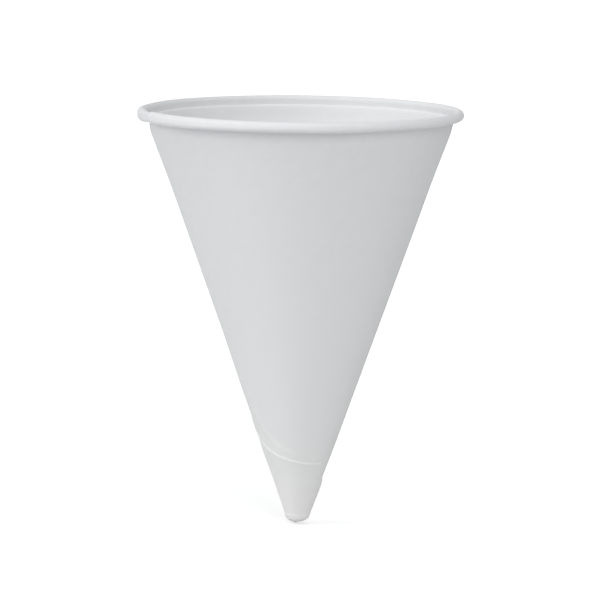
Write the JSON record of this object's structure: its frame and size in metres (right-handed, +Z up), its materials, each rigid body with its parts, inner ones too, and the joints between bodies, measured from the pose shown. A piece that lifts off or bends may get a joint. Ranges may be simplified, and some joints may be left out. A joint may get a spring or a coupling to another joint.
{
  "type": "cone paper cup",
  "caption": "Cone-shaped paper drinking cup wound from one flat blank, with a pressed round tip and a curled rim.",
  "frame": {"origin": "centre of the bounding box in X and Y, at the lowest point of the tip", "axes": "+Z up along the cup's axis, from the tip to the mouth; the side that faces the viewer of the picture faces -Y"},
  "size_m": [0.0748, 0.075, 0.0966],
  "materials": {
    "paper": "uncoated white paper, matt"
  },
  "bodies": {
    "root": {"cup": "paper"}
  },
  "joints": []
}
